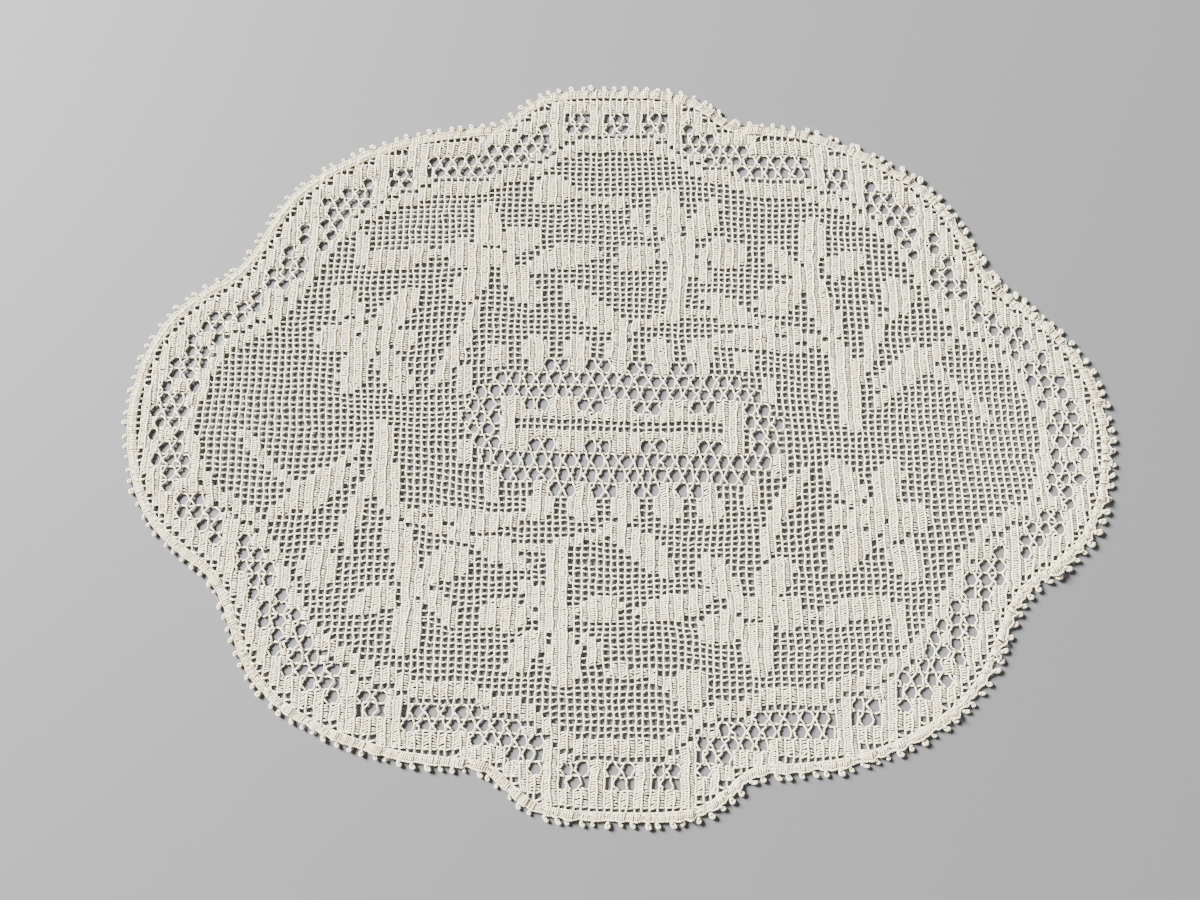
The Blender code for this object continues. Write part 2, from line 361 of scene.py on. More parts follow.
def end_arches(band, used):
    """Arches of the two ends: rows of three and two in turn, with a rib in the middle of every fourth."""
    found = []
    rows, columns = band.shape
    middle = columns // 2
    for low in range(0, rows - 1, 2):
        turn = (low - rows // 2) // 2
        for side in (1, -1):
            both = band[low] & band[low + 1]
            reach = both[::-1] if side > 0 else both
            if not reach.any():
                continue
            first = int(np.argmax(reach)) + turn % 2
            for place in range(END_ARCHES_IN_ROW - turn % 2):
                out = first + 2 * place
                if turn * 2 % RIB_EVERY_ROWS == RIB_EVERY_ROWS // 2 and place == 1:
                    continue
                i = columns - out - 2 if side > 0 else out
                if abs(i + 1 - middle) <= END_ARCH_COLUMN:
                    continue
                cells = (slice(low, low + 2), slice(i, i + 2))
                if band[cells].all() and not used[cells].any():
                    used[cells] = True
                    found.append((low, i))
    return found


def bent_line(column, row, start, end, bend):
    """How far along a bowed line each square is, from 0 to 1, how far beside it, and its length."""
    run = np.subtract(end, start)
    length = np.hypot(*run)
    along = ((column - start[0]) * run[0] + (row - start[1]) * run[1]) / length**2
    beside = ((row - start[1]) * run[0] - (column - start[0]) * run[1]) / length
    held = np.clip(along, 0, 1)
    return along, np.abs(beside - bend * 4 * held * (1 - held)), length


def flowers(column, row):
    """True on the squares that the flowers, leaves and stems fill, for a chart of columns and rows.

    A petal is an ellipse on its own axis. A leaf is as wide as the root of the sine of its way along, and
    a stem is as wide all along, both bowed sideways by bend times 4 t (1 - t). The eyes stay open.
    """
    filled = np.zeros(column.shape, bool)
    for at, up, turn, length, width in PETALS:
        cos, sin = np.cos(np.radians(turn)), np.sin(np.radians(turn))
        along = (column - at) * cos + (row - up) * sin - length / 2
        beside = (row - up) * cos - (column - at) * sin
        filled |= (2 * along / length) ** 2 + (2 * beside / width) ** 2 < 1
    for at, up, radius in HEARTS:
        filled |= np.hypot(column - at, row - up) < radius
    for c0, r0, c1, r1, width, bend in LEAVES:
        along, beside, _ = bent_line(column, row, (c0, r0), (c1, r1), bend)
        within = (along > 0) & (along < 1)
        filled |= within & (beside < width / 2 * np.sin(np.pi * np.clip(along, 0, 1)) ** 0.5)
    for c0, r0, c1, r1, width, bend in STEMS:
        along, beside, length = bent_line(column, row, (c0, r0), (c1, r1), bend)
        filled |= (np.abs(along - 0.5) < 0.5 + 0.5 / length) & (beside < width / 2)
    for at, up, wide, tall in EYES:
        beside = (column > at) & (column < at + wide)
        filled &= ~(beside & (row > up) & (row < up + tall))
    return filled


def filled_chart():
    """What each cell holds, its arch's or narrow hole's number from 1, the arches' lower left cells, and
    the round of open cells beside the edging."""
    inside = chart_cells()
    outside = ~inside
    rows, columns = inside.shape
    kind = np.where(inside, OPEN, OUTSIDE)
    part_of = np.zeros(inside.shape, int)
    passed = outside
    for columns_deep, rows_deep, fill in BORDER_RINGS:
        ring = grown(outside, columns_deep, rows_deep)
        kind[ring & ~passed] = fill
        passed = ring
    edge_dashes = grown(outside, *BORDER_RINGS[0][:2]) & inside
    outer = grown(outside, *BORDER_RINGS[1][:2])
    band = grown(outside, *BORDER_RINGS[2][:2]) & ~outer
    used = np.zeros_like(band)
    found, narrow = side_arches(band, used)
    found += end_arches(band, used)

    row, column = np.mgrid[:rows, :columns]
    row = row - rows // 2 + 0.5
    column = column - columns // 2 + 0.5
    motifs = np.where(row > 0, flowers(column, row), flowers(-column, -row))
    ground = ~grown(outside, BORDER_RINGS[-1][0] + 1, BORDER_RINGS[-1][1] + 1)
    kind[motifs & ground] = BLOCK

    def fill(low, first, tall, wide, what):
        j, i = low + rows // 2, first + columns // 2
        kind[j:j + tall, i:i + wide] = what

    for low, first, tall, wide in PANEL_BLOCKS:
        fill(low, first, tall, wide, BLOCK)
    fill(*PANEL_OPEN_SLOT, OPEN)
    for k in range(SCALLOPS):
        middle = SCALLOP_EVERY * (k - SCALLOPS // 2)
        for out, half in SCALLOP_TIERS:
            fill(SCALLOP_ROW + out, middle - half, 1, 2 * half, BLOCK)
            fill(-SCALLOP_ROW - 1 - out, middle + 1 - half, 1, 2 * half, BLOCK)

    found += [
        (low + rows // 2, first + 2 * k + columns // 2)
        for low, first, count in PANEL_ARCHES
        for k in range(count)
    ]
    for number, (low, first) in enumerate(found, 1):
        cells = (slice(low, low + 2), slice(first, first + 2))
        kind[cells] = ARCH
        part_of[cells] = number
    for number, (low, first) in enumerate(narrow, len(found) + 1):
        kind[low:low + 2, first] = NARROW
        part_of[low:low + 2, first] = number
    return kind, part_of, np.array(found), edge_dashes


# The pinned-out net. The wet mat is stretched to its outline and pinned while it dries, which draws the
# stepped edge of the chart to the smooth rim and bends the rows near it. The tall arches of the middle
# panel push the rows beyond them outwards, blocks swell up the chart and draw in across it, and the
# worker's uneven tension makes the rows wander.
ARCH_PUSH_ABOVE = 0.9
ARCH_PUSH_BELOW = 1.7
ARCH_PUSH_COLUMNS = 24
ARCH_PUSH_SOFTNESS = 2.5
ARCH_PUSH_FROM = 3
ARCH_PUSH_FULL = 10
ARCH_PUSH_GONE = 36
PIN_STRENGTH = 0.5
PULL_KEPT = 0.997
PULL_ROUNDS = 400
BLOCK_SWELL = 0.18
BLOCK_DRAW = 0.11
TENSION_SLIP = 0.07
HAND_SEED = 1931
CROSSING_SLIP = 0.19
LIFT = 0.5
LIFT_WAVES = (
    # millimetres per radian of the wave, the same of its bend, how far it bends
    (37.0, 61.0, 1.3),
    (29.0, 53.0, 0.8),
)
LOWEST = 0.05
MM = 0.001


def block_push(block):
    """How far each crossing is pushed along and across by the blocks on its four sides, in millimetres.

    A stretch of net beside a block is longer than its pitch by BLOCK_SWELL up the chart and shorter by
    BLOCK_DRAW across it. A crossing takes a quarter of the difference of the two stretches it joins.
    """
    padded = np.pad(block.astype(float), 1)
    up = BLOCK_SWELL * ROW_PITCH * (padded[:, :-1] + padded[:, 1:]) / 2
    across = -BLOCK_DRAW * COLUMN_PITCH * (padded[:-1] + padded[1:]) / 2
    return np.stack([across[:, :-1] - across[:, 1:], up[:-1] - up[1:]], axis=-1) / 4


def pinned_net(inside, block):
    """Where the chart's crossings lie once the net is pinned out, as an array of rows by columns by xy.

    Each crossing starts on an even grid. Crossings on the edge are drawn towards the rim, and all
    others follow the mean of their four neighbours, a little less each time, so that the pull dies
    away towards the middle, and are pushed by the blocks beside them and by a small draw of tension.
    """
    rows = np.arange(inside.shape[0] + 1) - inside.shape[0] // 2
    columns = np.arange(inside.shape[1] + 1) - inside.shape[1] // 2
    column, row = np.meshgrid(columns, rows)
    x = column * COLUMN_PITCH
    y = row * ROW_PITCH

    rise = np.clip((np.abs(row) - ARCH_PUSH_FROM) / (ARCH_PUSH_FULL - ARCH_PUSH_FROM), 0, 1)
    fall = np.clip((ARCH_PUSH_GONE - np.abs(row)) / (ARCH_PUSH_GONE - ARCH_PUSH_FULL), 0, 1)
    near = 1 / (1 + np.exp((np.abs(column) - ARCH_PUSH_COLUMNS) / ARCH_PUSH_SOFTNESS))
    rows_out = np.where(row > 0, ARCH_PUSH_ABOVE, -ARCH_PUSH_BELOW)
    y = y + rows_out * ROW_PITCH * rise * fall * near

    corners = np.zeros((inside.shape[0] + 1, inside.shape[1] + 1), int)
    for down in (0, 1):
        for left in (0, 1):
            corners[down:down + inside.shape[0], left:left + inside.shape[1]] += inside
    edge = (corners > 0) & (corners < 4)

    loop = rim_loop(FINE_RIM_POINTS)
    loop = loop - outward(loop) * CHART_INSET
    points = np.stack([x[edge], y[edge]], axis=1)
    gap = ((points[:, None] - loop[None]) ** 2).sum(axis=2)
    pull = loop[gap.argmin(axis=1)] - points

    shift = np.zeros(x.shape + (2,))
    push = block_push(block) + hand.normal(0.0, TENSION_SLIP, shift.shape)
    for _ in range(PULL_ROUNDS):
        beside = np.roll(shift, 1, axis=1) + np.roll(shift, -1, axis=1)
        above = np.roll(shift, 1, axis=0) + np.roll(shift, -1, axis=0)
        shift = PULL_KEPT * (beside + above) / 4 + push
        shift[edge] += PIN_STRENGTH * (pull - shift[edge])
    return np.stack([x, y], axis=-1) + shift


def placed(points):
    """Points in metres in the part's own frame, from the regular mat's millimetres.

    The cloth lifts off the table by up to LIFT in low, slow waves, a bent sine along the mat times a
    bent cosine across it, and nowhere lies lower than LOWEST.
    """
    x, y = points[..., 0], points[..., 1]
    (along, along_bend, along_by), (across, across_bend, across_by) = LIFT_WAVES
    wave_along = np.sin(x / along + along_by * np.sin(y / along_bend))
    wave_across = np.cos(y / across + across_by * np.sin(x / across_bend))
    wave = wave_along * wave_across
    flat = laid_out(points[..., :2]) - MIDDLE
    z = points[..., 2] + LOWEST + LIFT * (0.5 + 0.5 * wave)
    return np.concatenate([flat, z[..., None]], axis=-1) * MM


MIDDLE = middle_of_mat()
kind, part_of, arches, edge_dashes = filled_chart()
hand = np.random.default_rng(HAND_SEED)
net = pinned_net(kind != OUTSIDE, kind == BLOCK)
net = net + hand.normal(0.0, CROSSING_SLIP, net.shape)


# The thread. Undyed crochet cotton, of two plies twisted together: matt, with a soft bloom of loose
# fibre, yellower in patches with age, and with painted shade in the grooves between the plies.
def twisted_thread():
    """Shader group: the height of twisted plies, and the depth of the grooves between them for painted
    shade.

    The piece's UV map runs in millimetres along the thread and from 0 to 1 round it. The height is a
    rounded ridge, the absolute sine of pi times (along / lay + plies times round), with fibre noise.
    """
    group = bpy.data.node_groups.new("twisted_thread", "ShaderNodeTree")
    for name, value in (("Lay", 1.1), ("Plies", 2.0), ("Fuzz", 0.35)):
        socket = group.interface.new_socket(name, in_out="INPUT", socket_type="NodeSocketFloat")
        socket.default_value = value
    for name in ("Height", "Groove"):
        group.interface.new_socket(name, in_out="OUTPUT", socket_type="NodeSocketFloat")
    nodes, links = group.nodes, group.links
    given = nodes.new("NodeGroupInput")
    result = nodes.new("NodeGroupOutput")
    thread = nodes.new("ShaderNodeUVMap")
    thread.uv_map = "thread"
    split = nodes.new("ShaderNodeSeparateXYZ")
    links.new(thread.outputs["UV"], split.inputs[0])

    def maths(operation, first, second=None):
        node = nodes.new("ShaderNodeMath")
        node.operation = operation
        for socket, value in zip(node.inputs, (first, second)):
            if isinstance(value, (int, float)):
                socket.default_value = value
            elif value is not None:
                links.new(value, socket)
        return node.outputs[0]

    along = maths("DIVIDE", split.outputs["X"], given.outputs["Lay"])
    round_it = maths("MULTIPLY", split.outputs["Y"], given.outputs["Plies"])
    turn = maths("MULTIPLY", maths("ADD", along, round_it), np.pi)
    ridge = maths("ABSOLUTE", maths("SINE", turn))

    place = nodes.new("ShaderNodeTexCoord")
    fibre = nodes.new("ShaderNodeTexNoise")
    fibre.inputs["Scale"].default_value = 2600.0
    fibre.inputs["Detail"].default_value = 3.0
    links.new(place.outputs["Object"], fibre.inputs["Vector"])
    fuzz = maths("MULTIPLY", fibre.outputs["Fac"], given.outputs["Fuzz"])
    links.new(maths("ADD", ridge, fuzz), result.inputs["Height"])
    links.new(maths("SUBTRACT", 1.0, maths("POWER", ridge, 0.35)), result.inputs["Groove"])
    return group


def aged_cotton_groove_shade():
    """Shader group: the colour of undyed cotton, yellower in slow patches, with painted shade in the
    grooves.
    """
    group = bpy.data.node_groups.new("aged_cotton_groove_shade", "ShaderNodeTree")
    for name, value in (
        ("Thread", (0.68, 0.62, 0.475, 1.0)),
        ("Yellowed", (0.60, 0.515, 0.335, 1.0)),
        ("Shadow", (0.36, 0.34, 0.30, 1.0)),
    ):
        socket = group.interface.new_socket(name, in_out="INPUT", socket_type="NodeSocketColor")
        socket.default_value = value
    for name, value in (("Groove", 0.0), ("Age", 0.5)):
        socket = group.interface.new_socket(name, in_out="INPUT", socket_type="NodeSocketFloat")
        socket.default_value = value
    group.interface.new_socket("Color", in_out="OUTPUT", socket_type="NodeSocketColor")
    nodes, links = group.nodes, group.links
    given = nodes.new("NodeGroupInput")
    result = nodes.new("NodeGroupOutput")
    place = nodes.new("ShaderNodeTexCoord")
    patches = nodes.new("ShaderNodeTexNoise")
    patches.inputs["Scale"].default_value = 24.0
    patches.inputs["Detail"].default_value = 4.0
    stitches = nodes.new("ShaderNodeTexNoise")
    stitches.inputs["Scale"].default_value = 420.0
    stitches.inputs["Detail"].default_value = 2.0
    both = nodes.new("ShaderNodeMath")
    both.operation = "MULTIPLY"
    aged = nodes.new("ShaderNodeMath")
    aged.operation = "MULTIPLY"
    aged.use_clamp = True
    yellow = nodes.new("ShaderNodeMix")
    yellow.data_type = "RGBA"
    groove = nodes.new("ShaderNodeMix")
    groove.data_type = "RGBA"
    for noise in (patches, stitches):
        links.new(place.outputs["Object"], noise.inputs["Vector"])
    links.new(patches.outputs["Fac"], both.inputs[0])
    links.new(stitches.outputs["Fac"], both.inputs[1])
    links.new(both.outputs[0], aged.inputs[0])
    links.new(given.outputs["Age"], aged.inputs[1])
    links.new(aged.outputs[0], yellow.inputs["Factor"])
    links.new(given.outputs["Thread"], yellow.inputs["A"])
    links.new(given.outputs["Yellowed"], yellow.inputs["B"])
    # The groove depth mixes in the Shadow colour: painted shade between the plies.
    links.new(given.outputs["Groove"], groove.inputs["Factor"])
    links.new(yellow.outputs["Result"], groove.inputs["A"])
    links.new(given.outputs["Shadow"], groove.inputs["B"])
    links.new(groove.outputs["Result"], result.inputs["Color"])
    return group


TWIST = twisted_thread()
AGED_GROOVE_SHADE = aged_cotton_groove_shade()


def crochet_cotton(name, age, lay=1.1, plies=2.0, fuzz=0.35, bump=0.9):
    """A material of twisted cotton thread, matt and a little downy."""
    material = bpy.data.materials.new(name)
    material.use_nodes = True
    nodes, links = material.node_tree.nodes, material.node_tree.links
    shader = nodes["Principled BSDF"]
    shader.inputs["Roughness"].default_value = 0.88
    shader.inputs["Specular IOR Level"].default_value = 0.25
    shader.inputs["Sheen Weight"].default_value = 0.04
    shader.inputs["Sheen Roughness"].default_value = 0.5
    twist = nodes.new("ShaderNodeGroup")
    twist.node_tree = TWIST
    twist.inputs["Lay"].default_value = lay
    twist.inputs["Plies"].default_value = plies
    twist.inputs["Fuzz"].default_value = fuzz
    colour = nodes.new("ShaderNodeGroup")
    colour.node_tree = AGED_GROOVE_SHADE
    colour.inputs["Age"].default_value = age
    # The depth of the grooves sets their painted shade.
    links.new(twist.outputs["Groove"], colour.inputs["Groove"])
    links.new(colour.outputs["Color"], shader.inputs["Base Color"])
    raised = nodes.new("ShaderNodeBump")
    raised.inputs["Strength"].default_value = bump
    raised.inputs["Distance"].default_value = 0.00014
    links.new(twist.outputs["Height"], raised.inputs["Height"])
    links.new(raised.outputs["Normal"], shader.inputs["Normal"])
    return material


# Swept thread. Every stitch is a short tube along its own line, and so are the ribs between them. A cut
# end has one plain UV, on the crest of a ply.
CAP_UV = (0.5, 0.0)


def swept(path, radius, sides, present=None, closed=False):
    """Tubes along N paths of M points each, as points, faces and the faces' UVs.

    A ring's point is path + radius * (cos a * beside + sin a * up), where beside lies level and up
    stands on the path and beside. `present` says which stretches between points are made.
    """
    if closed:
        ahead = np.roll(path, -1, axis=1) - np.roll(path, 1, axis=1)
    else:
        ahead = np.gradient(path, axis=1)
    beside = np.stack([ahead[..., 1], -ahead[..., 0], np.zeros(ahead.shape[:2])], axis=-1)
    beside /= np.linalg.norm(beside, axis=-1, keepdims=True)
    up = np.cross(beside, ahead)
    up /= np.linalg.norm(up, axis=-1, keepdims=True)
    angle = (np.arange(sides) + 0.5) / sides * 2 * np.pi
    cos, sin = np.cos(angle)[:, None], np.sin(angle)[:, None]
    ring = cos * beside[:, :, None] + sin * up[:, :, None]
    points = path[:, :, None] + radius[:, :, None, None] * ring

    count, steps = path.shape[:2]
    number = np.arange(count * steps * sides).reshape(count, steps, sides)
    length = np.linalg.norm(np.diff(path, axis=1), axis=-1).cumsum(axis=1)
    length = np.concatenate([np.zeros((count, 1)), length], axis=1)
    here = np.arange(steps if closed else steps - 1)
    after = (here + 1) % steps
    if present is None:
        present = np.ones((count, len(here)), bool)
    start, end = number[:, here], number[:, after]
    quads = np.stack(
        [start, end, np.roll(end, -1, axis=2), np.roll(start, -1, axis=2)], axis=-1
    )
    begins = length[:, here]
    ends = begins + np.linalg.norm(path[:, after] - path[:, here], axis=-1)
    u = np.stack([begins, ends, ends, begins], axis=-1)[:, :, None] + np.zeros((sides, 1))
    turn = np.arange(sides)[:, None] + (0, 0, 1, 1)
    v = turn / sides + np.zeros(u.shape)
    quad_uv = np.stack([u, v], axis=-1)
    faces = quads[present].reshape(-1, 4)
    uvs = quad_uv[present].reshape(-1, 2)
    caps = np.zeros((0, sides), int)
    if not closed:
        before = np.concatenate([np.zeros((count, 1), bool), present[:, :-1]], axis=1)
        follows = np.concatenate([present[:, 1:], np.zeros((count, 1), bool)], axis=1)
        caps = np.concatenate([start[present & ~before], end[present & ~follows][:, ::-1]])
    return points.reshape(-1, 3), faces, caps, uvs


def thread_piece(name, shapes, material):
    """One mesh of many swept shapes, with its thread UVs in millimetres, smooth and at the origin."""
    points, faces, uvs = [], [], []
    shift = 0
    for shape_points, quads, caps, quad_uv in shapes:
        used = np.unique(quads)
        renumber = np.zeros(len(shape_points), int)
        renumber[used] = np.arange(len(used)) + shift
        points.append(shape_points[used])
        faces += renumber[quads].tolist() + renumber[caps].tolist()
        uvs.append(quad_uv)
        uvs.append(np.tile(CAP_UV, (caps.size, 1)))
        shift += len(used)
    points = placed(np.concatenate(points))
    mesh = bpy.data.meshes.new(name)
    mesh.from_pydata(points.tolist(), [], faces)
    layer = mesh.uv_layers.new(name="thread")
    layer.data.foreach_set("uv", np.concatenate(uvs).ravel())
    mesh.shade_smooth()
    mesh.materials.append(material)
    piece = bpy.data.objects.new(name, mesh)
    bpy.context.scene.collection.objects.link(piece)
    return piece


# Ribs up the columns. Each row of crochet ends in a chain along its tops, and these chains are the
# lines that run up the mat, wavy between the posts. Beside blocks every second one stands proud.
RIB_SIDES = 6
RIB_RADIUS = 0.43
RIB_KNOT_RADIUS = 0.53
RIB_HEIGHT = 0.62
RIB_WAVE = 0.16
RIB_TURN = 0.6
RIB_SLIP = 0.5
RIB_UNEVEN = 0.07
PROUD_RIB_EXTRA = 0.05
PROUD_RIB_HEIGHT = 1.14
ODD_RIB_SHARE = 0.15


def same_part(a, b):
    """True where two neighbouring cells belong to one arch or narrow hole."""
    return (a == b) & (a > 0)


def padded_chart(values):
    """The chart with one empty cell added on every side."""
    return np.pad(values, 1)


def rib_shapes(first, last):
    """Ribs on the column lines from first to last, as one swept shape."""
    rows = kind.shape[0]
    cells, parts = padded_chart(kind), padded_chart(part_of)
    lines = np.arange(first, last)
    left, right = cells[1:-1, lines], cells[1:-1, lines + 1]
    left_part, right_part = parts[1:-1, lines], parts[1:-1, lines + 1]
    present = (left != OUTSIDE) | (right != OUTSIDE)
    present &= ~same_part(left_part, right_part)
    present &= left != ARCH
    present = present.T

    at = net[:, lines].transpose(1, 0, 2)
    slip = hand.normal(0.0, RIB_SLIP, (len(lines), rows))
    turn = np.where((np.arange(rows)[None] + lines[:, None]) % 2, 1.0, -1.0)
    middle = (at[:, :-1] + at[:, 1:]) / 2
    middle[..., 0] += RIB_WAVE * (RIB_TURN * turn + slip)
    path = np.zeros((len(lines), 2 * rows + 1, 3))
    path[:, ::2, :2] = at
    path[:, 1::2, :2] = middle

    block = ((left == BLOCK).astype(float) + (right == BLOCK)).T / 2
    block = np.pad(block, ((0, 0), (1, 1)))
    at_knots = (block[:, :-1] + block[:, 1:]) / 2
    blocked = np.zeros(path.shape[:2])
    blocked[:, ::2] = at_knots
    blocked[:, 1::2] = block[:, 1:-1]
    proud = blocked * np.where(lines % 2 == 0, 1.0, ODD_RIB_SHARE)[:, None]
    radius = np.full(path.shape[:2], RIB_RADIUS)
    radius[:, ::2] = RIB_KNOT_RADIUS
    radius = radius + PROUD_RIB_EXTRA * proud
    radius *= hand.normal(1.0, RIB_UNEVEN, radius.shape)
    path[..., 2] = np.maximum(RIB_HEIGHT + (PROUD_RIB_HEIGHT - RIB_HEIGHT) * proud, radius)
    return swept(path, radius, RIB_SIDES, np.repeat(present, 2, axis=1))


# Posts across the columns. A post is a double crochet worked into the chain of the row before, and
# flares where it wraps that chain. Beside the flattened holes next to the edging it is pulled wider.
POST_SIDES = 5
POST_RADIUS = 0.34
POST_END_RADIUS = 0.47
POST_HEIGHT = 0.58
POST_SLANT = 0.26
POST_SLANT_SHARES = (1.0, 0.6, 1.0)
POST_UNEVEN = 0.06
DASH_POST_SPREAD = 1.3


def post_shapes(first, last):
    """Posts on the row lines of the columns from first to last, beside at least one open cell."""
    cells, parts = padded_chart(kind), padded_chart(part_of)
    columns = np.arange(first, last)
    below, above = cells[:-1, columns + 1], cells[1:, columns + 1]
    there = (below != OUTSIDE) | (above != OUTSIDE)
    there &= ~same_part(parts[:-1, columns + 1], parts[1:, columns + 1])
    there &= ~((below == BLOCK) & (above == BLOCK))
    row, place = np.nonzero(there)
    column = columns[place]
    start, end = net[row, column], net[row, column + 1]
    slip = hand.normal(0.0, POST_SLANT, (len(row), 3))
    path = np.zeros((len(row), 3, 3))
    path[:, 0, :2] = start
    path[:, 1, :2] = (start + end) / 2
    path[:, 2, :2] = end
    path[:, :, 1] += slip * POST_SLANT_SHARES
    radius = np.array([POST_END_RADIUS, POST_RADIUS, POST_END_RADIUS]) * np.ones((len(row), 1))
    dashes = padded_chart(edge_dashes)
    by_dash = dashes[row, column + 1] | dashes[row + 1, column + 1]
    radius[by_dash] *= DASH_POST_SPREAD
    radius *= hand.normal(1.0, POST_UNEVEN, radius.shape)
    path[:, :, 2] = np.maximum(POST_HEIGHT, radius)
    return swept(path, radius, POST_SIDES)


# The net itself, from its ribs and posts. The real ground is one sheet. Here it is kept as bands of
# crochet rows, each a mesh of its own, whose stitches run on into the next band's with no join.
NET_BANDS = 4
net_cotton = crochet_cotton("filet_cotton", age=0.9)


band_edges = np.linspace(CHART_MARGIN, kind.shape[1] - CHART_MARGIN, NET_BANDS + 1).astype(int)
net_bands = []
for number, (first, last) in enumerate(zip(band_edges[:-1], band_edges[1:]), 1):
    ribs_end = last + 1 if number == NET_BANDS else last
    shapes = [rib_shapes(first, ribs_end), post_shapes(first, last)]
    band = thread_piece(f"filet_net_{number}", shapes, net_cotton)
    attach(band, "root")
    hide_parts("filet_ground")
    net_bands.append(band)


# Blocks. A filled square holds three double crochets in its height, side by side and leaning one way
# in one row and the other way in the next. They sag between the proud ribs and leave pinpricks there.
BLOCK_STITCHES = 3
BLOCK_SIDES = 5
BLOCK_RIB_RADIUS = 0.36
BLOCK_RADIUS = 0.43
BLOCK_UNEVEN = 0.05
BLOCK_LEAN = 0.16
BLOCK_LEAN_SLIP = 0.06
BLOCK_PLACE_SLIP = 0.02
BLOCK_HEIGHT = 0.48
BLOCK_RIB_HEIGHT = 0.92


def block_shapes(first, last):
    """The stitches of every filled cell in the columns from first to last, as swept shapes."""
    cells = padded_chart(kind)
    columns = np.arange(first, last)
    filled = kind[:, columns] == BLOCK
    shapes = []
    for stitch in range(BLOCK_STITCHES):
        there = filled
        if stitch == 0:
            there = filled & (cells[:-2, columns + 1] == BLOCK)
        row, place = np.nonzero(there)
        column = columns[place]
        share = stitch / BLOCK_STITCHES
        lean = BLOCK_LEAN * np.where(column % 2, 1.0, -1.0)
        lean = lean + hand.normal(0.0, BLOCK_LEAN_SLIP, len(row))
        share = share + hand.normal(0.0, BLOCK_PLACE_SLIP, len(row))
        path = np.zeros((len(row), 2, 3))
        for end, slant in ((0, -1), (1, 1)):
            at = (share + slant * lean)[:, None]
            low, high = net[row, column + end], net[row + 1, column + end]
            path[:, end, :2] = low + (high - low) * at
        by_rib = np.stack([column % 2 == 0, column % 2 == 1], axis=1)
        path[:, :, 2] = np.where(by_rib, BLOCK_RIB_HEIGHT, BLOCK_HEIGHT)
        radius = np.where(by_rib, BLOCK_RIB_RADIUS, BLOCK_RADIUS)
        radius = radius * hand.normal(1.0, BLOCK_UNEVEN, (len(row), 2))
        shapes.append(swept(path, radius, BLOCK_SIDES))
    return shapes


middle_column = kind.shape[1] // 2
for side, first, last in (("left", 0, middle_column), ("right", middle_column, kind.shape[1])):
    blocks = thread_piece(f"blocks_{side}", block_shapes(first, last), net_cotton)
    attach(blocks, "root")
    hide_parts("filet_ground")


# Arches. Two chains spread in a V from the middle of the bar before to the two posts, and the next row
# closes them with a bar of five chains, which the following V pulls into a bow.
ARM_SIDES = 6
ARM_SLIP = 0.11
ARM_UNEVEN = 0.06
BAR_RADIUS = 0.44
BAR_BOW = (-0.44, -0.24, -0.08, -0.24, -0.44)
ARM_COURSE = (
    # columns from the arch's left, rows above its middle, radius
    (0.06, 0.05, 0.60),
    (0.30, 0.36, 0.45),
    (0.50, 0.67, 0.42),
    (0.68, 0.98, 0.44),
)


def on_net(column, row):
    """Points of the pinned net at fractional columns and rows, between the four crossings round each."""
    left = np.floor(column).astype(int)
    low = np.floor(row).astype(int)
    u = (column - left)[..., None]
    v = (row - low)[..., None]
    lower = net[low, left] * (1 - u) + net[low, left + 1] * u
    upper = net[low + 1, left] * (1 - u) + net[low + 1, left + 1] * u
    return lower * (1 - v) + upper * v


def at_rib_height(points):
    """Points of the net raised to the middle of its ribs."""
    return np.concatenate([points, np.full(points.shape[:2] + (1,), RIB_HEIGHT)], axis=-1)


def arch_shapes():
    """The V arms and the bowed bars of all the arches."""
    low, left = arches[:, 0, None].astype(float), arches[:, 1, None].astype(float)
    course = np.array(ARM_COURSE)
    shapes = []
    for side in (1, -1):
        slip = hand.normal(0.0, ARM_SLIP, (len(arches), len(course)))
        path = at_rib_height(on_net(left + course[:, 0] + slip, low + 1 + side * course[:, 1]))
        radius = course[:, 2] * hand.normal(1.0, ARM_UNEVEN, path.shape[:2])
        shapes.append(swept(path, radius, ARM_SIDES))
    bow = np.array(BAR_BOW) + hand.normal(0.0, ARM_SLIP, (len(arches), len(BAR_BOW)))
    path = at_rib_height(on_net(left + 2 + bow, low + np.linspace(0.0, 2.0, len(BAR_BOW))))
    radius = BAR_RADIUS * hand.normal(1.0, ARM_UNEVEN, path.shape[:2])
    shapes.append(swept(path, radius, ARM_SIDES))
    return shapes


arch_piece = thread_piece("arches", arch_shapes(), net_cotton)
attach(arch_piece, "root")
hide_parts("filet_ground")


# The edging. A round of double crochet is worked over the net's edge, close and a little ruffled, most
# at the right end, and its chained top makes the firm outer cord.
EDGING_STITCHES = PICOT_COUNT * 6
EDGING_SIDES = 5
CORD_SIDES = 6
EDGING_INNER = 3.7
EDGING_OUTER = 0.5
EDGING_ENDS = (
    # inset from the rim, lean along it, radius
    (EDGING_INNER, -0.25, 0.40),
    (2.1, 0.0, 0.45),
    (EDGING_OUTER, 0.25, 0.43),
)
EDGING_HEIGHT = 0.80
EDGING_SLIP = 0.13
EDGING_UNEVEN = 0.07
RUFFLE = 0.17
RUFFLE_TO_RIGHT = 0.7
CORDS = (
    # inset from the rim, height, radius, share of the ruffle in and out
    (EDGING_OUTER, 0.92, 0.44, 1.0),
    (EDGING_INNER, 0.76, 0.40, 0.0),
)
CORD_LUMPS = 0.26
edging_cotton = crochet_cotton("edging_cotton", age=2.4)


